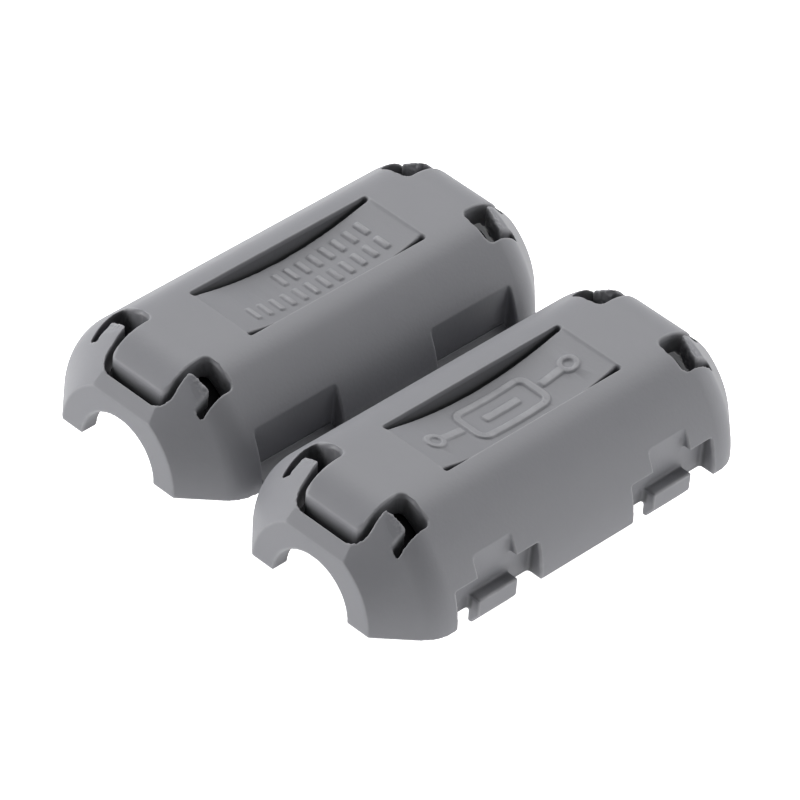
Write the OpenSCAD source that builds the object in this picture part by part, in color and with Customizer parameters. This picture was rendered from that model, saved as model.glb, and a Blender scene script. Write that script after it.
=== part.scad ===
// Clip-on ferrite bead, laid open: two moulded case halves on a strap hinge, each with half a ferrite core.
// Millimetres. X runs across the two halves, Y along the cable, +Z towards the labelled tops.
// The origin is the centre of the cable channel of the latch half, on the parting plane.

/* [Core] */
// Length of the ferrite core
core_length = 20; // [17:0.5:30]
// Outer radius of the ferrite core
core_radius = 4.75; // [4.5:0.05:6]
// Height of the flat on the back of the core
core_flat_height = 4.2; // [3.9:0.05:4.4]
// Radius of the cable channel
cable_radius = 2.5; // [1.5:0.1:3]
// Distance from the parting plane to the split face of the core
core_face_gap = 0.02; // [0.01:0.01:0.1]

/* [Case] */
// Thickness of the round side wall
side_wall = 1.5; // [1.2:0.05:2.2]
// Thickness of the wall that closes each end
end_wall = 1; // [0.8:0.05:1.4]
// Thickness of the flat roof and of the sloped end roofs
roof_wall = 1; // [0.7:0.05:1.2]
// How far the case reaches past each end of the core
end_reach = 2.5; // [2.4:0.05:3.5]
// Width of the flat ring round the cable mouth
end_ring = 1.45; // [1.2:0.05:1.8]
// Height of the end wall above the cable channel
end_top = 0.93; // [0.7:0.05:1.2]
// Length of the sloped roof at each end, along the cable
slope_run = 1.9; // [1.5:0.05:2.2]
// Radius that blends the round body into its cone ends
shoulder_blend = 2.2; // [0.5:0.1:2.6]
// Radius that blends the flat top into its sloped ends
roof_blend = 1.2; // [0.4:0.1:2]
// Distance from the parting plane to the rim of the case
rim_gap = 0.06; // [0.03:0.01:0.15]
// Gap between the two halves when they lie open
open_gap = 0.66; // [0.4:0.02:1.5]
// Clearance round the core
core_clearance = 0.1; // [0.05:0.01:0.3]

/* [Label spring] */
// Length of the sprung label tongue
label_length = 12; // [8:0.5:14]
// Width of the opening that the tongue lies in
label_width = 4.28; // [3:0.1:5]
// Width of the slot along each side of the tongue
label_slot = 0.25; // [0.15:0.05:0.5]
// Thickness of the tongue
label_thickness = 0.6; // [0.4:0.05:0.8]
// How far the middle of the tongue bows in below the top
label_bow = 0.9; // [0.5:0.05:1.1]
// Small step where each end of the tongue meets the top
label_step = 0.05; // [0.02:0.01:0.1]
// Gap between the bowed tongue and the core
label_clearance = 0.05; // [0.02:0.01:0.2]

/* [Cable claws] */
// Half width of the tongue between the two claws
tongue_half_width = 1.9; // [1.5:0.05:2.1]
// Distance from the end of the case to the front edge of the tongue
tongue_setback = 1.06; // [0.9:0.02:1.2]
// Width of the slot round the tongue
tongue_slot = 0.45; // [0.3:0.05:0.5]
// Distance from the inner side of one claw to the middle plane
claw_inset = 2.24; // [2.1:0.02:2.4]
// Width of each claw
claw_width = 1.2; // [1:0.02:1.3]
// Distance from the end of the case to the tip of each claw
claw_tip_setback = 2.4; // [2.2:0.02:2.6]
// Distance from the end of the case to the root of each claw
claw_root_setback = 1.66; // [1.5:0.02:1.8]
// Distance from the end of the case to the back of the claw slots
claw_slot_back = 3.76; // [3.4:0.02:4]
// Half width of the pair of claw slots
claw_slot_half_width = 3.9; // [3.7:0.02:4]
// Height of the floor of the tongue slot above the cable channel
tongue_slot_floor = 0.8; // [0.6:0.05:1]

/* [Latches] */
// Distance of each latch and each hinge strap from the middle, along the cable
latch_spread = 6.03; // [5.6:0.05:7]
// Wall left behind each latch and hinge recess
recess_wall = 0.58; // [0.5:0.02:0.8]
// Width of the notch that takes a latch loop
notch_width = 5.6; // [5:0.1:6]
// Height of the notch that takes a latch loop
notch_height = 2.2; // [2:0.05:2.6]
// Width of each latch block
block_width = 2.6; // [2:0.1:3]
// How far each block stands out from its recess
block_reach = 0.77; // [0.6:0.02:0.85]
// Height of the ledge on top of each block
block_ledge = 0.95; // [0.8:0.05:1.1]
// How far each block drops below the parting plane
block_drop = 0.68; // [0.4:0.02:0.8]
// Height of the lead-in slope on the foot of each block
block_lead = 0.63; // [0.4:0.02:0.7]
// How far the lead-in slope cuts back
block_lead_depth = 0.45; // [0.2:0.05:0.5]
// Width of the window that lies above each block
relief_width = 2.56; // [2:0.02:2.8]
// Clearance between a block and its loop
loop_clearance = 0.15; // [0.1:0.01:0.25]
// Clearance between a loop and the ledge, the notch and the recess
loop_play = 0.06; // [0.04:0.01:0.1]

/* [Hinge straps] */
// Width of each recess that holds a hinge strap
strap_recess_width = 5.5; // [4:0.1:6]
// Clearance on each side of a strap
strap_clearance = 0.1; // [0.05:0.01:0.3]
// Thickness of a strap
strap_thickness = 0.35; // [0.25:0.05:0.5]
// Height of the middle of the strap at its roots
strap_root_height = 0.77; // [0.6:0.01:1]
// How far a strap sags between its roots
strap_sag = 0.5; // [0.2:0.05:0.7]

/* [Core lugs] */
// How far each lug reaches under the core
lug_reach = 0.3; // [0.2:0.05:0.5]
// Height of each lug
lug_height = 0.5; // [0.3:0.05:0.8]
// How far each lug stands in from the side wall
lug_depth = 1.1; // [0.8:0.05:1.4]
// Length of each lug past the end of the core
lug_root = 0.6; // [0.4:0.05:0.9]

/* [Hidden] */
$fn = 96;

case_color = "gray";
core_color = "dimgray";
// Overshoot of a cut past the surface that it opens
over = 1;

half_length = core_length / 2 + end_reach;
cavity_radius = core_radius + core_clearance;
cavity_half_length = core_length / 2 + core_clearance;
case_radius = cavity_radius + side_wall;
end_radius = cable_radius + end_ring;
cone_length = case_radius - end_radius;
top_height = core_flat_height + label_clearance + label_thickness + label_bow;
slope_foot = cable_radius + end_top;
half_pitch = case_radius + open_gap / 2;
recess_face = cavity_radius + recess_wall;

function unit(v) = v / norm(v);

// Waste outside an arc of radius r that blends the corner at c, between neighbours a and b
module corner_waste(c, a, b, r) {
    to_a = unit(a - c);
    to_b = unit(b - c);
    half_angle = acos(to_a * to_b) / 2;
    bisector = unit(to_a + to_b);
    tangent_a = c + to_a * r / tan(half_angle);
    tangent_b = c + to_b * r / tan(half_angle);
    difference() {
        polygon([tangent_a, tangent_a - bisector * over, c - bisector * over,
            tangent_b - bisector * over, tangent_b]);
        translate(c + bisector * r / sin(half_angle)) circle(r);
    }
}

// Both ends of a shape that lies at the +Y end
module both_ends() {
    children();
    mirror([0, 1, 0]) children();
}

// Both sides of a shape that lies on the +X side
module both_sides() {
    children();
    mirror([1, 0, 0]) children();
}

// One copy at each latch and hinge station along the cable
module both_stations() {
    for (side = [-1, 1]) translate([0, side * latch_spread, 0]) children();
}

// A block centred on x = 0 and y = 0 that starts at height z0
module slab(size, z0) {
    translate([-size[0] / 2, -size[1] / 2, z0]) cube(size);
}

// A bar that reaches from x0 outwards past the side of the case, centred on y = 0
module side_bar(x0, width, z0, z1) {
    translate([x0, -width / 2, z0]) cube([case_radius + over - x0, width, z1 - z0]);
}

// Half of the turned outline: distance from the cable axis against position along it
module turned_outline() {
    body = [case_radius, 0];
    shoulder = [case_radius, half_length - cone_length];
    mouth = [end_radius, half_length];
    difference() {
        polygon([[0, 0], body, shoulder, mouth, [0, half_length]]);
        corner_waste(shoulder, body, mouth, shoulder_blend);
    }
}

// The round body with its cone ends, still a full turn
module turned_body() {
    both_ends() rotate([-90, 0, 0]) rotate_extrude() turned_outline();
}

// Half of the roof outline seen from the side, along the cable and up, lowered by a wall
module roof_outline(wall) {
    slope_rise = top_height - slope_foot;
    drop = wall * norm([slope_run, slope_rise]) / slope_run;
    run = slope_run * (top_height - wall - slope_foot + drop) / slope_rise;
    crest = [half_length - run, top_height - wall];
    foot = [half_length, slope_foot - drop];
    difference() {
        polygon([[0, 0], [half_length, 0], foot, crest, [0, top_height - wall]]);
        corner_waste(crest, [0, top_height - wall], foot, max(roof_blend - wall, roof_blend / 4));
    }
}

// A prism across the case under a roof outline
module roof_prism(wall) {
    both_ends() rotate([90, 0, 90]) translate([0, 0, -case_radius - over])
        linear_extrude(2 * (case_radius + over)) roof_outline(wall);
}

// The outside of one half, before its rim is cut
module outer_body() {
    intersection() {
        turned_body();
        roof_prism(0);
    }
}

// The seat for the core, with the chamber that follows the cone past its end, under an even roof
module cavity() {
    chamber_end = half_length - end_wall;
    step = end_wall * sqrt(2);
    intersection() {
        union() {
            rotate([90, 0, 0]) cylinder(r = cavity_radius, h = 2 * cavity_half_length, center = true);
            both_ends() rotate([-90, 0, 0]) rotate_extrude() intersection() {
                polygon([[0, 0], [case_radius, 0], [case_radius, half_length - cone_length - step],
                    [end_radius + end_wall - step, chamber_end], [0, chamber_end]]);
                square([cavity_radius, chamber_end]);
            }
        }
        roof_prism(roof_wall);
    }
}

// A plan of one claw slot and tongue slot at the +Y end
module claw_slot_plan() {
    slot_front = half_length - tongue_setback + tongue_slot;
    slot_root = half_length - claw_root_setback;
    slot_back = half_length - claw_slot_back;
    claw_tip = half_length - claw_tip_setback;
    slot_corner = 0.35;
    front_corner = 0.75;
    tongue_corner = 0.3;
    tip_corner = 0.14;
    tongue_front = half_length - tongue_setback;
    difference() {
        union() {
            // the claw slots, with rounded corners at their back
            both_sides() translate([tongue_half_width, slot_back + slot_corner])
                square([claw_slot_half_width - tongue_half_width, slot_root - slot_back - slot_corner]);
            both_sides() translate([tongue_half_width + slot_corner, slot_back])
                square([claw_slot_half_width - tongue_half_width - 2 * slot_corner, slot_corner + over]);
            both_sides() for (x = [tongue_half_width + slot_corner, claw_slot_half_width - slot_corner])
                translate([x, slot_back + slot_corner]) circle(slot_corner);
            translate([-claw_inset, claw_tip])
                square([2 * claw_inset, slot_front - front_corner - claw_tip]);
            translate([-claw_inset + front_corner, claw_tip])
                square([2 * (claw_inset - front_corner), slot_front - claw_tip]);
            both_sides() translate([claw_inset - front_corner, slot_front - front_corner])
                circle(front_corner);
        }
        // the tongue keeps its own front edge inside the slot
        translate([-tongue_half_width, 0]) square([2 * tongue_half_width, tongue_front - tongue_corner]);
        translate([-tongue_half_width + tongue_corner, 0])
            square([2 * (tongue_half_width - tongue_corner), tongue_front]);
        both_sides() translate([tongue_half_width - tongue_corner, tongue_front - tongue_corner])
            circle(tongue_corner);
        // the claws point back from the end cap, with rounded tips
        both_sides() translate([claw_inset, claw_tip + tip_corner])
            square([claw_width, half_length - claw_tip - tip_corner]);
        both_sides() translate([claw_inset + tip_corner, claw_tip])
            square([claw_width - 2 * tip_corner, tip_corner + over]);
        both_sides() for (x = [tip_corner, claw_width - tip_corner])
            translate([claw_inset + x, claw_tip + tip_corner]) circle(tip_corner);
    }
}

// The slots that free the tongue and the claws at both ends
module claw_slots() {
    both_ends() translate([0, 0, cable_radius + tongue_slot_floor])
        linear_extrude(top_height) claw_slot_plan();
}

// The bowed label tongue, a leaf of even thickness
module label_tongue() {
    sag = label_bow - label_step;
    reach = label_length / 2;
    bend = (reach * reach + sag * sag) / (2 * sag);
    width = label_width - 2 * label_slot;
    intersection() {
        translate([0, 0, top_height - label_bow + bend]) rotate([0, 90, 0]) difference() {
            cylinder(r = bend + label_thickness, h = width, center = true, $fn = 200);
            cylinder(r = bend, h = width + over, center = true, $fn = 200);
        }
        slab([width, label_length + 2 * label_slot, top_height], 0);
        outer_body();
    }
}

// Lugs at the corners of the seat that hold the core in
module core_lugs() {
    both_ends() both_sides() intersection() {
        translate([cavity_radius - lug_depth, core_length / 2 - lug_reach, rim_gap])
            cube([lug_depth + side_wall / 2, lug_reach + lug_root, lug_height]);
        turned_body();
    }
}

// What both halves share: shell, seat, cable mouths, label, claws and hinge recesses on the -X side
module case_half() {
    difference() {
        union() {
            difference() {
                outer_body();
                cavity();
                slab([label_width, label_length, top_height], cable_radius + over);
                claw_slots();
            }
            label_tongue();
            core_lugs();
        }
        rotate([90, 0, 0]) cylinder(r = cable_radius, h = 2 * half_length + over, center = true);
        both_stations() mirror([1, 0, 0])
            side_bar(recess_face, strap_recess_width, -over, top_height);
        slab([2 * case_radius + over, 2 * half_length + over, top_height], rim_gap - top_height);
    }
}

// The block that a loop snaps over, on the +X side
module latch_block() {
    face = recess_face + block_reach;
    foot = recess_face + loop_play;
    root = recess_face - recess_wall / 2;
    translate([0, block_width / 2, 0]) rotate([90, 0, 0]) linear_extrude(block_width)
        polygon([[root, rim_gap], [foot, rim_gap], [foot, -block_drop],
            [face - block_lead_depth, -block_drop], [face, block_lead - block_drop],
            [face, block_ledge], [root, block_ledge]]);
}

// The loop that snaps over a block, on the +X side, hanging below the parting plane
module latch_loop() {
    window = block_width + 2 * loop_clearance;
    loop_end = -(notch_height - loop_play);
    bar_top = -(block_ledge + loop_play);
    width = notch_width - 4 * loop_play;
    intersection() {
        turned_body();
        difference() {
            side_bar(recess_face + loop_play, width, loop_end, top_height / 2);
            side_bar(recess_face - over, window, bar_top, top_height);
        }
    }
}

module latch_half() {
    color(case_color) {
        difference() {
            case_half();
            both_stations() side_bar(recess_face, notch_width, -over, notch_height);
            both_stations() side_bar(recess_face, relief_width, 0, top_height);
        }
        both_stations() latch_block();
    }
}

module loop_half() {
    window = block_width + 2 * loop_clearance;
    color(case_color) translate([-2 * half_pitch, 0, 0]) mirror([1, 0, 0]) {
        difference() {
            case_half();
            both_stations() side_bar(recess_face, window, -over, block_drop + loop_clearance);
        }
        both_stations() latch_loop();
    }
}

// Half of the split core, lying with its split face down
module core_half() {
    lug_gap = core_clearance;
    color(core_color) difference() {
        rotate([90, 0, 0]) cylinder(r = core_radius, h = core_length, center = true);
        rotate([90, 0, 0]) cylinder(r = cable_radius, h = core_length + over, center = true);
        slab([2 * core_radius + over, core_length + over, core_radius], core_flat_height);
        slab([2 * core_radius + over, core_length + over, core_radius + over],
            core_face_gap - core_radius - over);
        both_ends() both_sides()
            translate([cavity_radius - lug_depth - lug_gap, core_length / 2 - lug_reach - lug_gap, 0])
                cube([lug_depth + over, lug_reach + lug_gap + over, rim_gap + lug_height + lug_gap]);
    }
}

module core_latch_half() {
    core_half();
}

module core_loop_half() {
    translate([-2 * half_pitch, 0, 0]) mirror([1, 0, 0]) core_half();
}

// A thin strap that sags from one recess face to the other
module hinge_strap() {
    reach = half_pitch - recess_face;
    bend = (reach * reach + strap_sag * strap_sag) / (2 * strap_sag);
    bend_centre = strap_root_height - strap_sag + bend;
    width = strap_recess_width - 2 * strap_clearance;
    color(case_color) translate([-half_pitch, 0, 0]) intersection() {
        translate([0, 0, bend_centre]) rotate([90, 0, 0]) difference() {
            cylinder(r = bend + strap_thickness / 2, h = width, center = true);
            cylinder(r = bend - strap_thickness / 2, h = width + over, center = true);
        }
        slab([2 * reach, width + over, bend_centre + over], -over);
    }
}

module hinge_strap_front() {
    translate([0, -latch_spread, 0]) hinge_strap();
}

module hinge_strap_rear() {
    translate([0, latch_spread, 0]) hinge_strap();
}

latch_half();
loop_half();
core_latch_half();
core_loop_half();
hinge_strap_front();
hinge_strap_rear();
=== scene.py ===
# %% [markdown]
# # A clip-on ferrite bead, laid open
# Two moulded halves of a grey plastic case lie side by side on strap hinges, backs up. Each holds
# half of a split ferrite core. The CAD part is the frame: this script keeps every size and place of
# it and makes the finish. All mesh work is done in millimetres, because a voxel of a few hundredths
# of a millimetre is below the smallest voxel that Blender takes in metres, and each finished mesh is
# scaled down to metres.

# %% Load the frame
import math

import bmesh
import bpy
import numpy as np
from mathutils import Matrix, Vector, noise
from mathutils.bvhtree import BVHTree


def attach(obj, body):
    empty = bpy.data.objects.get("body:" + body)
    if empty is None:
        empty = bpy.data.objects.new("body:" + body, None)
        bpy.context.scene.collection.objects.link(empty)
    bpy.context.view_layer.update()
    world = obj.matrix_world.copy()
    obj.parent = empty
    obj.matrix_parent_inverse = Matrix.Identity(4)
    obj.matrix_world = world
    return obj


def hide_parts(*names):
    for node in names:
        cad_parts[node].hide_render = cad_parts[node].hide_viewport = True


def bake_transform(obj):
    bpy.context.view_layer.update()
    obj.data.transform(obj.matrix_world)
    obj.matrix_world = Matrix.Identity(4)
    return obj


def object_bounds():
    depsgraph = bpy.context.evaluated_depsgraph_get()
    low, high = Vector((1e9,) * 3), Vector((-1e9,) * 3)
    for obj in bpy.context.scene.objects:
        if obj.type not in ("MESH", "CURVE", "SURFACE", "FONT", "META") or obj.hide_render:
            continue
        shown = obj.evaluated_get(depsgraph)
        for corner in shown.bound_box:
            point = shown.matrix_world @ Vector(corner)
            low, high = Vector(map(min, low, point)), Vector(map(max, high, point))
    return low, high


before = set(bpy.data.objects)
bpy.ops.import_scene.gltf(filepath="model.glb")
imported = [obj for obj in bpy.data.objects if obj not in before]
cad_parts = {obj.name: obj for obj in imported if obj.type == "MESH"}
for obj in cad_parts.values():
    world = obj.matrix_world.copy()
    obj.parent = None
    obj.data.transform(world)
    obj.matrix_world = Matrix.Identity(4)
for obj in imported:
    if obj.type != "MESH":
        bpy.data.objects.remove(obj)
MM = 0.001
scene = bpy.context.scene
cad_low, cad_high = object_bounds()

# the driving sizes, in millimetres: both halves lie as far from the hinge line as their pitch says
CASE_RADIUS = round(cad_high[0] / MM, 2)
HALF_LENGTH = round(cad_high[1] / MM, 2)
TOP_HEIGHT = round(cad_high[2] / MM, 2)
HALF_PITCH = round(-(cad_low[0] + cad_high[0]) / 2 / MM, 2)
print("CAD box, mm:", [round(v / MM, 2) for v in (*cad_low, *cad_high)])
print("case radius:", CASE_RADIUS, "half length:", HALF_LENGTH)
print("top height:", TOP_HEIGHT, "half pitch:", HALF_PITCH)

# %% [markdown]
# ## Camera
# A long lens from well back, looking down across the two halves with their cable mouths at the front
# left. The camera leans a few degrees, so its axes are built by hand: back from azimuth and
# elevation, then a roll.

# %% Camera
CAMERA_AZIMUTH = math.radians(42.0)
CAMERA_ELEVATION = math.radians(39.0)
CAMERA_ROLL = math.radians(5.0)
CAMERA_DISTANCE = 0.326
CAMERA_LENS = 298.4
CAMERA_TARGET = Vector((-7.73, 1.27, 0)) * MM


def towards(azimuth, elevation):
    """The direction of that azimuth, counted from the front round to the right, and elevation."""
    return Vector((math.sin(azimuth) * math.cos(elevation), -math.cos(azimuth) * math.cos(elevation),
                   math.sin(elevation)))


def camera_axes(azimuth, elevation, roll):
    """Right, up and back of a camera that looks at the object from that side, leaning by roll."""
    back = towards(azimuth, elevation)
    level = Vector((math.cos(azimuth), math.sin(azimuth), 0))
    up = back.cross(level)
    right = level * math.cos(roll) + up * math.sin(roll)
    return right, back.cross(right), back


def make_camera():
    right, up, back = camera_axes(CAMERA_AZIMUTH, CAMERA_ELEVATION, CAMERA_ROLL)
    camera = bpy.data.objects.new("camera", bpy.data.cameras.new("camera"))
    camera.data.lens = CAMERA_LENS
    camera.data.clip_start = 0.01
    camera.data.clip_end = 10
    camera.data.dof.use_dof = False
    camera.matrix_world = (Matrix.Translation(CAMERA_TARGET + back * CAMERA_DISTANCE)
                           @ Matrix((right, up, back)).transposed().to_4x4())
    scene.collection.objects.link(camera)
    return camera


scene.camera = make_camera()
print("camera at, mm:", [round(v / MM, 1) for v in scene.camera.location])

# %% [markdown]
# ## Floor and light
# The floor is a pale light table. It glows evenly, so the undersides get a soft bounce and nothing on
# it throws a hard shadow, and it reads as clean white to the eye. It lies just under the lowest point
# that the case reaches when it swings shut, which is its own top turned over.

# %% Floor
FLOOR_GAP = 0.1
FLOOR_DROP = (TOP_HEIGHT + FLOOR_GAP) * MM
FLOOR_SIZE = 3.0
FLOOR_GLOW = 0.68
FLOOR_WHITE = 1.3


def shader_material(name):
    """A new node material: the material, its node tree and its Principled shader."""
    material = bpy.data.materials.new(name)
    material.use_nodes = True
    return material, material.node_tree, material.node_tree.nodes["Principled BSDF"]


def make_floor():
    material, tree, surface = shader_material("light_table")
    surface.inputs["Base Color"].default_value = (0.9, 0.9, 0.9, 1)
    surface.inputs["Roughness"].default_value = 0.9
    surface.inputs["Emission Color"].default_value = (1, 1, 1, 1)
    # bright enough to look white, and dimmer as a light for the object
    path = tree.nodes.new("ShaderNodeLightPath")
    glow = tree.nodes.new("ShaderNodeMapRange")
    glow.inputs["To Min"].default_value = FLOOR_GLOW
    glow.inputs["To Max"].default_value = FLOOR_WHITE
    tree.links.new(path.outputs["Is Camera Ray"], glow.inputs["Value"])
    tree.links.new(glow.outputs["Result"], surface.inputs["Emission Strength"])
    half = FLOOR_SIZE / 2
    square = ((-half, -half), (half, -half), (half, half), (-half, half))
    corners = [(x, y, -FLOOR_DROP) for x, y in square]
    mesh = bpy.data.meshes.new("floor")
    mesh.from_pydata(corners, [], [(0, 1, 2, 3)])
    mesh.materials.append(material)
    floor = bpy.data.objects.new("floor", mesh)
    scene.collection.objects.link(floor)


make_floor()
print("floor at, mm:", round(-FLOOR_DROP / MM, 2))

# %% [markdown]
# Six large softboxes stand round the object, and together they wrap it in soft light. The strong ones
# are behind and on the left, and the weakest is on the right, so that the ends and sides that face
# the eye stay the darkest.

# %% Softboxes
SOFTBOX_REACH = 0.5
SOFTBOX_SIZE = 0.35
# name, azimuth and elevation in degrees, watts
SOFTBOXES = [
    ("softbox_back_left", 225, 60, 1.35),
    ("softbox_back", 180, 35, 0.6),
    ("softbox_back_right", 135, 10, 0.7),
    ("softbox_left", 270, 30, 0.9),
    ("softbox_front_left", 315, 10, 1.55),
    ("softbox_right", 90, 10, 0.2),
]


def softbox(name, azimuth, elevation, watts):
    """A square area light at that place round the object, turned to face it and unseen by the camera."""
    light = bpy.data.lights.new(name, "AREA")
    light.shape = "SQUARE"
    light.size = SOFTBOX_SIZE
    light.energy = watts
    away = towards(math.radians(azimuth), math.radians(elevation))
    lamp = bpy.data.objects.new(name, light)
    lamp.location = CAMERA_TARGET + away * SOFTBOX_REACH
    lamp.rotation_mode = "QUATERNION"
    lamp.rotation_quaternion = away.to_track_quat("Z", "Y")
    lamp.visible_camera = False
    scene.collection.objects.link(lamp)


for box in SOFTBOXES:
    softbox(*box)
print("softboxes:", len(SOFTBOXES), "total watts:", round(sum(box[3] for box in SOFTBOXES), 2))

# %% [markdown]
# The world is white to the eye, as a white room is. It also shows a little in reflections, which
# lifts the rims that turn away, and gives no light to the matt surfaces, because the softboxes and
# the floor do that.

# %% World
WORLD_SHEEN = 0.6


def math_node(tree, operation, first, second):
    """A math node whose inputs are numbers or sockets, as its output socket."""
    node = tree.nodes.new("ShaderNodeMath")
    node.operation = operation
    for socket, value in zip(node.inputs, (first, second)):
        if isinstance(value, (int, float)):
            socket.default_value = value
        else:
            tree.links.new(value, socket)
    return node.outputs[0]


def make_world():
    world = bpy.data.worlds.new("studio")
    world.use_nodes = True
    tree = world.node_tree
    backdrop = tree.nodes["Background"]
    backdrop.inputs["Color"].default_value = (1, 1, 1, 1)
    path = tree.nodes.new("ShaderNodeLightPath")
    sheen = math_node(tree, "MULTIPLY", path.outputs["Is Glossy Ray"], WORLD_SHEEN)
    strength = math_node(tree, "MAXIMUM", path.outputs["Is Camera Ray"], sheen)
    tree.links.new(strength, backdrop.inputs["Strength"])
    scene.world = world


make_world()
scene.view_settings.view_transform = "Standard"
print("world sheen:", WORLD_SHEEN)

# %% [markdown]
# ## From CAD solid to moulded skin
# A moulding has no truly sharp edge: every corner has a small radius and every face flows into the
# next. Bevels break up on a CAD mesh, which is made of long thin triangles. So the closed mesh is
# voxel remeshed into an even skin of small quads, relaxed a few times until its corners are round,
# worked on, and thinned to a light mesh.

# %% Copy and remesh
WELD_DISTANCE = 0.0005


def closed_copy(node):
    """The CAD node's mesh in millimetres with its seams welded, as a new object."""
    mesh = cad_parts[node].data.copy()
    mesh.transform(Matrix.Scale(1 / MM, 4))
    weld = bmesh.new()
    weld.from_mesh(mesh)
    bmesh.ops.remove_doubles(weld, verts=weld.verts, dist=WELD_DISTANCE)
    weld.to_mesh(mesh)
    weld.free()
    mesh.materials.clear()
    piece = bpy.data.objects.new(node + "_skin", mesh)
    scene.collection.objects.link(piece)
    return piece


def apply_modifiers(piece):
    """Bakes the piece's modifiers into its mesh."""
    graph = bpy.context.evaluated_depsgraph_get()
    mesh = bpy.data.meshes.new_from_object(piece.evaluated_get(graph))
    piece.modifiers.clear()
    old = piece.data
    piece.data = mesh
    bpy.data.meshes.remove(old)


def voxel_skin(piece, voxel):
    """Replaces the mesh by an even skin of quads about as long as the voxel."""
    remesh = piece.modifiers.new("skin", "REMESH")
    remesh.mode = "VOXEL"
    remesh.voxel_size = voxel
    apply_modifiers(piece)


def triangle_count(mesh):
    return sum(len(face.vertices) - 2 for face in mesh.polygons)


def thin_out(piece, triangles):
    """Thins the mesh to about that many triangles, fewest where it is flat."""
    before = triangle_count(piece.data)
    if before > triangles:
        thinner = piece.modifiers.new("thin", "DECIMATE")
        thinner.ratio = triangles / before
        apply_modifiers(piece)
    print(piece.name, "triangles:", before, "to", triangle_count(piece.data))


print("helpers ready: closed_copy, voxel_skin, thin_out")

# %% Points and neighbours
def points_of(mesh):
    flat = np.zeros(len(mesh.vertices) * 3, np.float32)
    mesh.vertices.foreach_get("co", flat)
    return flat.reshape(-1, 3).astype(float)


def normals_of(mesh):
    flat = np.zeros(len(mesh.vertices) * 3, np.float32)
    mesh.vertex_normals.foreach_get("vector", flat)
    return flat.reshape(-1, 3).astype(float)


def put_points(mesh, points):
    mesh.vertices.foreach_set("co", points.astype(np.float32).ravel())
    mesh.update()


class Neighbours:
    """The edges of a mesh, kept to take means over each vertex's neighbours."""

    def __init__(self, mesh):
        flat = np.zeros(len(mesh.edges) * 2, np.int32)
        mesh.edges.foreach_get("vertices", flat)
        ends = flat.reshape(-1, 2)
        self.here = np.concatenate((ends[:, 0], ends[:, 1]))
        self.there = np.concatenate((ends[:, 1], ends[:, 0]))
        self.count = np.maximum(np.bincount(self.here, minlength=len(mesh.vertices)), 1)

    def mean(self, values):
        columns = values.reshape(len(values), -1).T
        total = [np.bincount(self.here, column[self.there], len(values)) for column in columns]
        return (np.array(total) / self.count).T.reshape(values.shape)


def blurred(values, around, passes):
    """Moves each value halfway to the mean of its neighbours, passes times."""
    for _ in range(passes):
        values = 0.5 * (values + around.mean(values))
    return values


def relax(mesh, passes):
    """Rounds the corners of a skin."""
    put_points(mesh, blurred(points_of(mesh), Neighbours(mesh), passes))


def smooth_step(low, high, values):
    """Rises smoothly from 0 at low to 1 at high, or falls where low is the larger."""
    share = np.clip((values - low) / (high - low), 0, 1)
    return share * share * (3 - 2 * share)


print("relaxing moves a vertex by at most half the way to its neighbours in each pass")

# %% [markdown]
# ## A true surface with a soft shoulder
# A voxel skin is a hair uneven, and on a smooth moulding under soft light every ripple shows. The
# outside of a half is simple, though: round sides, cone ends, a flat top and sloped ends. So each
# point that already lies close to that ideal surface is moved onto it, and the rounded corners stay
# as they are. Between the flat top and the round side the real moulding has no line, only a slow
# turn. That comes from a smooth maximum of the two distances. The lobe between the claws droops in
# one slow arc.

# %% The ideal outside
# places along the cable where the side and the top bend down, how steeply, and through what radius
CONE_START = 10.1
CONE_FALL = 1.0
CONE_BEND = 2.2
CREST = 10.6
CREST_FALL = 2.32 / 1.9
CREST_BEND = 1.2
LOBE_BEND = 3.0
# the lobe ends in the slots beside it, and behind the claw tips in the wider notches
LOBE_HALF_WIDTH = 2.17
LOBE_WIDENING = 0.9
LOBE_WIDENS = (10.0, 9.9)
LOBE_FADE = 0.04
# the shoulder is softest in the middle and fades towards the ends
SHOULDER_BLEND = 0.5
SHOULDER_LEAST = 0.001
SHOULDER_FADE = (11.2, 9.2)
# keeps the slope of an arc finite
STEEPEST_SINE = 0.99


def half_coordinates(points, node):
    """Across from the cable axis towards the latches, along the cable, and up, for either half."""
    across = points[:, 0] if node.endswith("latch_half") else -(points[:, 0] + 2 * HALF_PITCH)
    return across, points[:, 1], points[:, 2]


def bent_profile(far, level, corner, fall, radius):
    """Height and slope of a level line that bends down at a corner through an arc."""
    angle = math.atan(fall)
    reach = radius * math.tan(angle / 2)
    past = far - corner
    in_arc = (past > -reach) & (past < reach * math.cos(angle))
    sine = np.clip((past + reach) / radius, 0, STEEPEST_SINE)
    cosine = np.sqrt(1 - sine * sine)
    height = np.where(in_arc, level - radius * (1 - cosine), level - fall * np.clip(past, 0, None))
    slope = np.where(in_arc, sine / cosine, np.where(past > 0, fall, 0.0))
    return height, slope


def side_profile(far):
    return bent_profile(far, CASE_RADIUS, CONE_START, CONE_FALL, CONE_BEND)


def roof_profile(far, bend):
    return bent_profile(far, TOP_HEIGHT, CREST, CREST_FALL, bend)


def lobe_share(across, far):
    """One on the lobe between the claws and 0 off it."""
    half_width = LOBE_HALF_WIDTH + LOBE_WIDENING * smooth_step(*LOBE_WIDENS, far)
    return smooth_step(half_width + LOBE_FADE, half_width - LOBE_FADE, np.abs(across))


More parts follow.
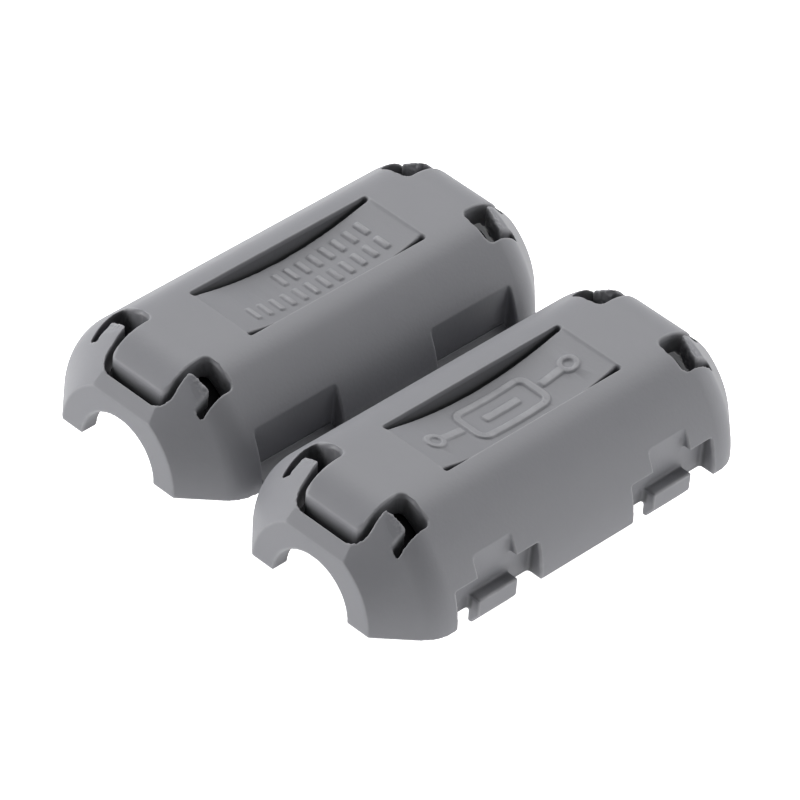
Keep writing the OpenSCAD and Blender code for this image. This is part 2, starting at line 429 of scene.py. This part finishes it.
def outside_distance(across, along, up):
    """Distance outside the ideal body, and how far the soft shoulder sinks below it."""
    far = np.abs(along)
    radius, cone = side_profile(far)
    roof, fall = roof_profile(far, CREST_BEND)
    slow_roof, slow_fall = roof_profile(far, LOBE_BEND)
    lobe = lobe_share(across, far)
    roof += lobe * (slow_roof - roof)
    fall += lobe * (slow_fall - fall)
    from_round = (np.hypot(across, up) - radius) / np.sqrt(1 + cone * cone)
    from_roof = (up - roof) / np.sqrt(1 + fall * fall)
    blend = SHOULDER_BLEND * smooth_step(*SHOULDER_FADE, far) + SHOULDER_LEAST
    near = np.clip(blend - np.abs(from_round - from_roof), 0, None) / blend
    return np.maximum(from_round, from_roof), near * near * blend / 4


print("the shoulder blend reaches", SHOULDER_BLEND, "mm, and lobes droop through", LOBE_BEND, "mm")

# %% [markdown]
# Softening comes before the thinning and settling after it. On a surface that is already perfect the
# thinning would leave long slivers, which blur the stored numbers. The leaf of the label is settled
# too, onto the arc that it is bowed to.

# %% Soften and settle
# heights over which the droop fades in, and depths over which the shoulder's sinking fades in
LOBE_UNDERSIDE = (3.5, 4.0)
SKIN_DEPTH = (-0.3, -0.1)
# gaps over which a point goes from left alone to fully moved
SETTLE_OUTSIDE = (0.03, 0.012)
SETTLE_LEAF = (0.03, 0.015)
END_FACE_MARGIN = 0.15
SETTLED_LEVEL = 0.9
# the leaf: its lowest height, the radius that it is bowed to, and its half sizes
LEAF_LOW = 4.85
LEAF_BEND = 21.6
LEAF_REACH = 5.9
LEAF_HALF_WIDTH = 1.86


def soften(mesh, node):
    """Lets the lobes droop, then melts the shoulders."""
    points = points_of(mesh)
    across, along, up = half_coordinates(points, node)
    far = np.abs(along)
    radius, _ = side_profile(far)
    round_top = np.sqrt(np.clip(radius * radius - across * across, 0, None))
    top = np.minimum(roof_profile(far, CREST_BEND)[0], round_top)
    slow_top = np.minimum(roof_profile(far, LOBE_BEND)[0], round_top)
    points[:, 2] -= (top - slow_top) * lobe_share(across, far) * smooth_step(*LOBE_UNDERSIDE, up)
    distance, sink = outside_distance(across, along, points[:, 2])
    points -= normals_of(mesh) * (sink * smooth_step(*SKIN_DEPTH, distance))[:, None]
    put_points(mesh, points)


def leaf_height(along):
    return LEAF_LOW + LEAF_BEND - np.sqrt(LEAF_BEND ** 2 - along ** 2)


def over_leaf(normals, across, along, level):
    """The points over the leaf whose normals point up by more than that share."""
    over = (np.abs(across) < LEAF_HALF_WIDTH) & (np.abs(along) < LEAF_REACH)
    return over & (normals[:, 2] > level)


def settle(mesh, node):
    """Moves the points near the ideal outside onto it, and those near the leaf's arc onto that."""
    points, normals = points_of(mesh), normals_of(mesh)
    across, along, up = half_coordinates(points, node)
    distance, sink = outside_distance(across, along, up)
    gap = distance + sink
    close = smooth_step(*SETTLE_OUTSIDE, np.abs(gap)) * (np.abs(along) < HALF_LENGTH - END_FACE_MARGIN)
    lift = leaf_height(along) - up
    on_leaf = over_leaf(normals, across, along, SETTLED_LEVEL)
    points -= normals * (gap * close)[:, None]
    points[:, 2] += lift * smooth_step(*SETTLE_LEAF, np.abs(lift)) * on_leaf
    put_points(mesh, points)


print("the leaf is bowed to a radius of", LEAF_BEND, "mm")

# %% [markdown]
# ## Marks on the sprung labels
# Each half has a thin leaf, bowed in like a spring, that presses the core down, and the leaf carries
# raised marks. These are plain signs: a cable that runs through a sleeve on one half, and rows of
# grip bars on the other. Each mark is a distance to a shape drawn flat on the leaf, and the skin is
# lifted where that distance is negative.

# %% Shapes as distances
# sizes go across and then along the leaf, in millimetres
SLEEVE_HALF_SIZE = (1.05, 2.3)
SLEEVE_CORNER = 0.5
SLEEVE_LINE = 0.42
CABLE_HALF_WIDTH = 0.24
CABLE_CORNER = 0.12
CABLE_INSIDE = 1.2
CABLE_OUTSIDE = (3.4, 0.75)
RING_PLACE = 4.55
RING_RADIUS = 0.42
RING_LINE = 0.3
GRIP_PITCH = 0.8
GRIP_HALF_SIZE = (0.5, 0.17)
GRIP_CORNER = 0.1
# place across, first place along, and number of bars
GRIP_ROWS = [(-0.72, -4.4, 12), (0.72, -1.2, 8)]


def bar(across, along, place, half_size, corner):
    """Distance to a rounded bar."""
    out_across = np.abs(across - place[0]) - half_size[0] + corner
    out_along = np.abs(along - place[1]) - half_size[1] + corner
    outside = np.hypot(np.clip(out_across, 0, None), np.clip(out_along, 0, None))
    return outside + np.minimum(np.maximum(out_across, out_along), 0) - corner


def outline(distance, width):
    """Turns the distance to a filled shape into the distance to its outline."""
    return np.abs(distance) - width / 2


def cable_sign(across, along):
    """A sleeve with a cable through it, and a ring at each end of the cable."""
    sleeve = bar(across, along, (0, 0), SLEEVE_HALF_SIZE, SLEEVE_CORNER)
    parts = [outline(sleeve, SLEEVE_LINE),
             bar(across, along, (0, 0), (CABLE_HALF_WIDTH, CABLE_INSIDE), CABLE_CORNER)]
    place, half_length = CABLE_OUTSIDE
    for side in (-1, 1):
        end_size = (CABLE_HALF_WIDTH, half_length)
        parts.append(bar(across, along, (0, side * place), end_size, CABLE_CORNER))
        ring = np.hypot(across, along - side * RING_PLACE) - RING_RADIUS
        parts.append(outline(ring, RING_LINE))
    return np.minimum.reduce(parts)


def grip_bars(across, along):
    """Two rows of short bars across the leaf, close together, the second row shorter."""
    bars = []
    for place, first, count in GRIP_ROWS:
        for number in range(count):
            middle = (place, first + GRIP_PITCH * number)
            bars.append(bar(across, along, middle, GRIP_HALF_SIZE, GRIP_CORNER))
    return np.minimum.reduce(bars)


print("marks: a cable sign and", sum(row[2] for row in GRIP_ROWS), "grip bars")

# %% Raise the marks
MARK_HEIGHT = 0.1
MARK_EDGE = 0.06
MARKED_GAP = 0.07
MARKED_LEVEL = 0.8


def raise_marks(mesh, node):
    """Lifts the marks out of the bowed leaf, and returns the number of points on the leaf."""
    points = points_of(mesh)
    across, along, up = half_coordinates(points, node)
    on_leaf = over_leaf(normals_of(mesh), across, along, MARKED_LEVEL)
    on_leaf[on_leaf] = np.abs(up[on_leaf] - leaf_height(along[on_leaf])) < MARKED_GAP
    sign = cable_sign if node == "latch_half" else grip_bars
    distance = sign(across[on_leaf], along[on_leaf])
    points[on_leaf, 2] += MARK_HEIGHT * smooth_step(MARK_EDGE, -MARK_EDGE, distance)
    put_points(mesh, points)
    return int(on_leaf.sum())


print("marks stand", MARK_HEIGHT, "mm proud of the leaf")

# %% [markdown]
# ## Ragged claws
# Each end has two claws that point back and grip the cable. They are the last places that the plastic
# fills in the mould, so their tips come out a little ragged, with scraps of flash. Seeded noise
# pushes the skin in and out there.

# %% Rough the claw tips
# middle of the tip and of the slot's root, across and along
CLAW_TIP = (2.84, 10.1)
CLAW_TIP_HALF_WIDTH = 0.45
CLAW_ROOT = (3.6, 10.85)
# where a claw is: between these places across, above this height and beyond this place along
CLAW_ACROSS = (2.15, 3.52)
CLAW_FLOOR = 4.1
CLAW_BEGIN = 9.9
# the tip slants back over this width, and less and less along the claw
CLAW_SLANT = 0.22
SLANT_ACROSS = (2.3, 1.1)
SLANT_ALONG = (10.7, 10.2)
# how far the raggedness reaches from the tip and the root, and how much of it the root has
RAGGED_PUSH = 0.05
RAGGED_AT_TIP = 0.22
RAGGED_AT_ROOT = 0.2
ROOT_SHARE = 0.8
RAGGED_HEIGHT = (3.9, 4.2)
LEAST_WEIGHT = 0.03
# size and seed of the large and the small lumps
LARGE_LUMPS = (0.16, 4)
SMALL_LUMPS = (0.07, 9)
SMALL_SHARE = 0.5
SEED_STEPS = (7.3, 3.1, 5.7)


def grain(points, size, seed):
    """Smooth noise from -1 to 1 at each point, with lumps about that size in millimetres."""
    shift = Vector([seed * step for step in SEED_STEPS])
    return np.array([noise.noise(Vector(point) / size + shift) for point in points])


def claw_slant(across, along, up):
    """How far each point moves along the cable, so that the outer side of each claw tip stands back."""
    wide, far = np.abs(across), np.abs(along)
    on_claw = (wide > CLAW_ACROSS[0]) & (wide < CLAW_ACROSS[1]) & (up > CLAW_FLOOR) & (far > CLAW_BEGIN)
    outer_part = np.clip((wide - SLANT_ACROSS[0]) / SLANT_ACROSS[1], 0, 1)
    return -np.sign(along) * CLAW_SLANT * outer_part * smooth_step(*SLANT_ALONG, far) * on_claw


def ragged_weight(across, along, up):
    """One at the claw tips, nearly that at the roots of their slots, and 0 elsewhere."""
    wide, far = np.abs(across), np.abs(along)
    beside = np.clip(np.abs(wide - CLAW_TIP[0]) - CLAW_TIP_HALF_WIDTH, 0, None)
    to_tip = np.hypot(beside, far - CLAW_TIP[1])
    to_root = np.hypot(wide - CLAW_ROOT[0], far - CLAW_ROOT[1])
    at_tip = np.exp(-(to_tip / RAGGED_AT_TIP) ** 2)
    at_root = np.exp(-(to_root / RAGGED_AT_ROOT) ** 2)
    return (at_tip + ROOT_SHARE * at_root) * smooth_step(*RAGGED_HEIGHT, up)


def rough_claws(mesh, node):
    """Slants and roughens the claw tips, and returns the number of points moved by the noise."""
    points = points_of(mesh)
    across, along, up = half_coordinates(points, node)
    points[:, 1] += claw_slant(across, along, up)
    weight = ragged_weight(across, along, up)
    touched = weight > LEAST_WEIGHT
    lumps = grain(points[touched], *LARGE_LUMPS) + SMALL_SHARE * grain(points[touched], *SMALL_LUMPS)
    push = weight[touched] * lumps * RAGGED_PUSH
    points[touched] += normals_of(mesh)[touched] * push[:, None]
    put_points(mesh, points)
    return int(touched.sum())


print("claw tips at", CLAW_TIP, "mm across and along")

# %% [markdown]
# ## What the surface knows about itself
# The finishes need two facts at each point: how sharply it stands out, for a painted highlight where
# rounded edges catch more light, and how much sky it sees when the case is shut, for painted shade in
# deep slots. The first compares the skin with a blurred copy of itself. The second casts rays at
# the piece with its open side closed by a lid.

# %% Edges
EDGE_BLUR = 10
EDGE_STARTS = 0.004
EDGE_IS_FULL = 0.02


def store(mesh, name, values):
    """Keeps one number at each vertex for the shaders to read."""
    layer = mesh.attributes.new(name, "FLOAT", "POINT")
    layer.data.foreach_set("value", np.asarray(values, np.float32))


def mark_edges(mesh):
    """Stores how far each point stands out of the blurred surface, from 0 to 1, as the painted edge
    highlight mask.
    """
    points = points_of(mesh)
    smooth = blurred(points, Neighbours(mesh), EDGE_BLUR)
    proud = ((points - smooth) * normals_of(mesh)).sum(1)
    store(mesh, "edge", smooth_step(EDGE_STARTS, EDGE_IS_FULL, proud))


print("an edge is full where it stands", EDGE_IS_FULL, "mm out of the blurred skin")

# %% Openness
OPEN_RAYS = 20
OPEN_REACH = 5.0
OPEN_BLUR = 3
# points deeper than this below the ideal outside are tested, from this far off the skin
TESTED_DEPTH = 0.1
RAY_START = 0.02
LID_HEIGHT = 0.05
LID_HALF_SIZE = (6, 12.3)
GOLDEN_ANGLE = 2.39996


def ray_fan(count):
    """Directions over a half sphere round +Z, thickest near the pole, on a spiral."""
    steps = (np.arange(count) + 0.5) / count
    turn = np.arange(count) * GOLDEN_ANGLE
    low = np.sqrt(steps)
    return np.stack([low * np.cos(turn), low * np.sin(turn), np.sqrt(1 - steps)], 1)


def lidded_tree(mesh, points, node):
    """The piece with a flat lid over its open side, ready for rays."""
    middle = 0 if node.endswith("latch_half") else -2 * HALF_PITCH
    half_x, half_y = LID_HALF_SIZE
    lid = [(middle + x, y, LID_HEIGHT)
           for x, y in ((-half_x, -half_y), (half_x, -half_y), (half_x, half_y), (-half_x, half_y))]
    faces = [tuple(face.vertices) for face in mesh.polygons]
    faces.append(tuple(range(len(points), len(points) + 4)))
    return BVHTree.FromPolygons([*map(tuple, points), *lid], faces)


def outside_depth(across, along, up):
    """Depth below the ideal outside, or above the lid where that is less."""
    far = np.abs(along)
    below_side = np.minimum(CASE_RADIUS, CASE_RADIUS + CONE_START - far) - np.hypot(across, up)
    below_roof = np.minimum(TOP_HEIGHT, TOP_HEIGHT + CREST_FALL * (CREST - far)) - up
    return np.minimum.reduce([below_side, below_roof, HALF_LENGTH - far, up - LID_HEIGHT])


def mark_openness(mesh, node):
    """Stores the share of rays that leave each point and get clear of the piece, as the mask for painted
    shade.
    """
    points, normals = points_of(mesh), normals_of(mesh)
    tree = lidded_tree(mesh, points, node)
    tested = np.flatnonzero(outside_depth(*half_coordinates(points, node)) > TESTED_DEPTH)
    fan = ray_fan(OPEN_RAYS)
    seen = np.ones(len(points))
    for index in tested:
        normal = Vector(normals[index])
        turn = normal.to_track_quat("Z", "Y").to_matrix()
        start = Vector(points[index]) + normal * RAY_START
        rays = fan @ np.array(turn).T
        clear = sum(tree.ray_cast(start, ray, OPEN_REACH)[0] is None for ray in rays)
        seen[index] = clear / OPEN_RAYS
    store(mesh, "open", blurred(seen, Neighbours(mesh), OPEN_BLUR))
    return len(tested)


print("rays cast from each deep point:", OPEN_RAYS)

# %% [markdown]
# ## Shared effects
# Both finishes share two effects, each built once as a node group. Fine grain gives a height for the
# bump and a slow mottle for the colour. Painted light reads the stored numbers and gives masks for a
# painted highlight on edges and painted shade in depths.

# %% Fine grain group
NOISE_ROUGHNESS = 0.55


def new_group(name, inputs, outputs):
    group = bpy.data.node_groups.new(name, "ShaderNodeTree")
    for label, value in inputs:
        socket = group.interface.new_socket(label, in_out="INPUT", socket_type="NodeSocketFloat")
        socket.default_value = value
    for label in outputs:
        group.interface.new_socket(label, in_out="OUTPUT", socket_type="NodeSocketFloat")
    return group, group.nodes.new("NodeGroupInput"), group.nodes.new("NodeGroupOutput")


def make_grain_group():
    """Grain height from a fine noise, and a slow mottle from a coarse one."""
    group, given, result = new_group("fine_grain", [("Grain per mm", 6), ("Mottle per mm", 0.3)],
                                     ["Height", "Mottle"])
    place = group.nodes.new("ShaderNodeTexCoord")
    scaled = group.nodes.new("ShaderNodeVectorMath")
    scaled.operation = "SCALE"
    scaled.inputs["Scale"].default_value = 1 / MM
    group.links.new(place.outputs["Object"], scaled.inputs[0])
    for size, detail, output in (("Grain per mm", 3, "Height"), ("Mottle per mm", 4, "Mottle")):
        texture = group.nodes.new("ShaderNodeTexNoise")
        texture.inputs["Detail"].default_value = detail
        texture.inputs["Roughness"].default_value = NOISE_ROUGHNESS
        group.links.new(scaled.outputs["Vector"], texture.inputs["Vector"])
        group.links.new(given.outputs[size], texture.inputs["Scale"])
        group.links.new(texture.outputs["Fac"], result.inputs[output])
    return group


GRAIN = make_grain_group()
print("node group:", GRAIN.name)

# %% Painted light group
PATCHES_PER_MM = 1.5
HIGHLIGHT_GAIN = 1.6


def stored_value(group, name):
    """The socket that reads a stored number."""
    fact = group.nodes.new("ShaderNodeAttribute")
    fact.attribute_name = name
    return fact.outputs["Fac"]


def make_painted_light_group():
    """Masks for a painted highlight on edges, broken up by noise, and for painted shade in depths."""
    group, given, result = new_group("painted_light", [("Depth floor", 0.1), ("Depth full", 0.6)],
                                     ["Pale edge", "Unshaded"])
    place = group.nodes.new("ShaderNodeTexCoord")
    patches = group.nodes.new("ShaderNodeTexNoise")
    patches.inputs["Scale"].default_value = PATCHES_PER_MM / MM
    group.links.new(place.outputs["Object"], patches.inputs["Vector"])
    # painted highlight: the edge mask, broken up into patches, lightens rounded edges
    broken = math_node(group, "MULTIPLY", stored_value(group, "edge"), patches.outputs["Fac"])
    group.links.new(math_node(group, "MULTIPLY", broken, HIGHLIGHT_GAIN), result.inputs["Pale edge"])
    # painted shade: where little sky is seen, the colour goes towards the deep colour
    deep_shade = group.nodes.new("ShaderNodeMapRange")
    deep_shade.interpolation_type = "SMOOTHSTEP"
    group.links.new(stored_value(group, "open"), deep_shade.inputs["Value"])
    group.links.new(given.outputs["Depth floor"], deep_shade.inputs["From Min"])
    group.links.new(given.outputs["Depth full"], deep_shade.inputs["From Max"])
    group.links.new(deep_shade.outputs["Result"], result.inputs["Unshaded"])
    return group


PAINTED_LIGHT = make_painted_light_group()
print("node group:", PAINTED_LIGHT.name)

# %% [markdown]
# ## The two finishes
# The case is matte moulded plastic in a cool mid grey, with a fine spark-eroded grain, a faint mottle
# from the flow in the mould, a painted highlight on its edges and painted shade in its slots. Ferrite is
# a fired ceramic: almost black, dull and slightly gritty, with a ground face where the two halves meet.

# %% Make a finish
MOTTLE_LOW = 0.3
MOTTLE_HIGH = 0.7


def place_group(tree, group, values):
    node = tree.nodes.new("ShaderNodeGroup")
    node.node_tree = group
    for label, value in values.items():
        node.inputs[label].default_value = value
    return node


def blend_colours(tree, share, first, second):
    """A colour mix whose ends are colours or sockets, as its output socket."""
    mix = tree.nodes.new("ShaderNodeMix")
    mix.data_type = "RGBA"
    tree.links.new(share, mix.inputs["Factor"])
    for socket, value in ((mix.inputs["A"], first), (mix.inputs["B"], second)):
        if isinstance(value, tuple):
            socket.default_value = (*value, 1)
        else:
            tree.links.new(value, socket)
    return mix.outputs["Result"]


def make_finish(name, colours, roughness, shine, grain_values, painted_light_values, bump):
    """A finish from four colours: painted shade for deep places, two body tones and a painted edge
    highlight.
    """
    deep_shade, body, body_pale, edge = colours
    material, tree, surface = shader_material(name)
    surface.inputs["Specular IOR Level"].default_value = shine
    grained = place_group(tree, GRAIN, grain_values)
    painted_light_node = place_group(tree, PAINTED_LIGHT, painted_light_values)
    spread = tree.nodes.new("ShaderNodeMapRange")
    spread.inputs["From Min"].default_value = MOTTLE_LOW
    spread.inputs["From Max"].default_value = MOTTLE_HIGH
    tree.links.new(grained.outputs["Mottle"], spread.inputs["Value"])
    colour = blend_colours(tree, spread.outputs["Result"], body, body_pale)
    # painted highlight on rounded edges
    colour = blend_colours(tree, painted_light_node.outputs["Pale edge"], colour, edge)
    # painted shade in deep places
    colour = blend_colours(tree, painted_light_node.outputs["Unshaded"], deep_shade, colour)
    tree.links.new(colour, surface.inputs["Base Color"])
    rough = tree.nodes.new("ShaderNodeMapRange")
    rough.inputs["To Min"].default_value, rough.inputs["To Max"].default_value = roughness
    tree.links.new(grained.outputs["Mottle"], rough.inputs["Value"])
    tree.links.new(rough.outputs["Result"], surface.inputs["Roughness"])
    relief = tree.nodes.new("ShaderNodeBump")
    strength, height = bump
    relief.inputs["Strength"].default_value = strength
    relief.inputs["Distance"].default_value = height * MM
    tree.links.new(grained.outputs["Height"], relief.inputs["Height"])
    tree.links.new(relief.outputs["Normal"], surface.inputs["Normal"])
    return material


print("a finish mottles between", MOTTLE_LOW, "and", MOTTLE_HIGH, "of the coarse noise")

# %% Finishes
# colours: painted shade for deep slots, two body tones, and a painted highlight for rounded edges
CASE_GREY = make_finish(
    "case_grey",
    colours=((0.075, 0.076, 0.08), (0.24, 0.242, 0.261), (0.253, 0.255, 0.273), (0.35, 0.35, 0.37)),
    roughness=(0.46, 0.58),
    shine=0.5,
    grain_values={"Grain per mm": 5, "Mottle per mm": 0.35},
    painted_light_values={"Depth floor": 0.05, "Depth full": 0.8},
    bump=(0.35, 0.02))
# colours: painted shade where deep or hidden in the shell, two body tones, and a painted highlight for
# rounded edges
FERRITE = make_finish(
    "ferrite",
    colours=((0.01, 0.01, 0.011), (0.03, 0.03, 0.033), (0.04, 0.04, 0.043), (0.07, 0.07, 0.074)),
    roughness=(0.45, 0.7),
    shine=0.15,
    grain_values={"Grain per mm": 9, "Mottle per mm": 0.8},
    painted_light_values={"Depth floor": 0.0, "Depth full": 0.3},
    bump=(0.6, 0.03))
print("finishes:", CASE_GREY.name, FERRITE.name)

# %% [markdown]
# ## The case halves
# Each half is one moulding, so it is one skin: shell, claws, sprung label, latch blocks or loops. The
# skin is made fine enough to keep the raised marks, and thinned only near the end, when the stored
# edges go with it.

# %% Hand over
def hand_over(piece, name, finish, node):
    """Brings a finished skin back to metres and gives it to the frame in place of its CAD node."""
    mesh = piece.data
    mesh.transform(Matrix.Scale(MM, 4))
    piece.name = name
    mesh.name = name
    mesh.materials.clear()
    mesh.materials.append(finish)
    mesh.polygons.foreach_set("use_smooth", [True] * len(mesh.polygons))
    mesh.update()
    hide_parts(node)


print("helper ready: hand_over")

# %% Case halves
CASE_VOXEL = 0.06
CASE_PASSES = 6
CASE_TRIANGLES = 180000


def case_half(node, body):
    piece = closed_copy(node)
    voxel_skin(piece, CASE_VOXEL)
    relax(piece.data, CASE_PASSES)
    soften(piece.data, node)
    marked = raise_marks(piece.data, node)
    ragged = rough_claws(piece.data, node)
    mark_edges(piece.data)
    thin_out(piece, CASE_TRIANGLES)
    settle(piece.data, node)
    deep_shade = mark_openness(piece.data, node)
    print(node, "points on the leaf", marked, "at claws", ragged, "deep_shade", deep_shade)
    hand_over(piece, "case_" + node, CASE_GREY, node)
    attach(piece, body)


case_half("latch_half", "latch_side")
case_half("loop_half", "loop_side")

# %% [markdown]
# ## The ferrite cores
# Each core half is a pressed and fired half ring. Its corners are a little rounded, and its split
# faces are ground flat so that they meet closely. It is dull, dark and a little gritty. Its round
# outside sits in the shell, so it gets painted shade there and stays black in the slots.

# %% Cores
CORE_VOXEL = 0.08
CORE_PASSES = 3
CORE_TRIANGLES = 60000
# radii and heights over which painted shade fades in where the core sits hidden in the shell
HIDDEN_RADIUS = (4.3, 4.6)
HIDDEN_HEIGHT = (0.2, 1.0)


def core_half(node, body):
    piece = closed_copy(node)
    voxel_skin(piece, CORE_VOXEL)
    relax(piece.data, CORE_PASSES)
    mark_edges(piece.data)
    across, _, up = half_coordinates(points_of(piece.data), node)
    # painted shade where the core's round outside sits hidden in the shell
    painted_shade = smooth_step(*HIDDEN_RADIUS, np.hypot(across, up)) * smooth_step(*HIDDEN_HEIGHT, up)
    store(piece.data, "open", 1 - painted_shade)
    thin_out(piece, CORE_TRIANGLES)
    hand_over(piece, "ferrite_" + node, FERRITE, node)
    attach(piece, body)


core_half("core_latch_half", "latch_side")
core_half("core_loop_half", "loop_side")

# %% [markdown]
# ## The hinge straps
# The halves are joined by two thin straps of the same plastic, moulded with them. A strap bends as
# the case shuts, so it doesn't ride on one half: it is attached to neither body, and its place is
# baked into its mesh.

# %% Straps
STRAP_VOXEL = 0.05
STRAP_PASSES = 3
STRAP_TRIANGLES = 30000


def hinge_strap(node):
    piece = closed_copy(node)
    voxel_skin(piece, STRAP_VOXEL)
    relax(piece.data, STRAP_PASSES)
    mark_edges(piece.data)
    store(piece.data, "open", np.ones(len(piece.data.vertices)))
    thin_out(piece, STRAP_TRIANGLES)
    hand_over(piece, "moulded_" + node, CASE_GREY, node)
    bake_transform(piece)


hinge_strap("hinge_strap_front")
hinge_strap("hinge_strap_rear")
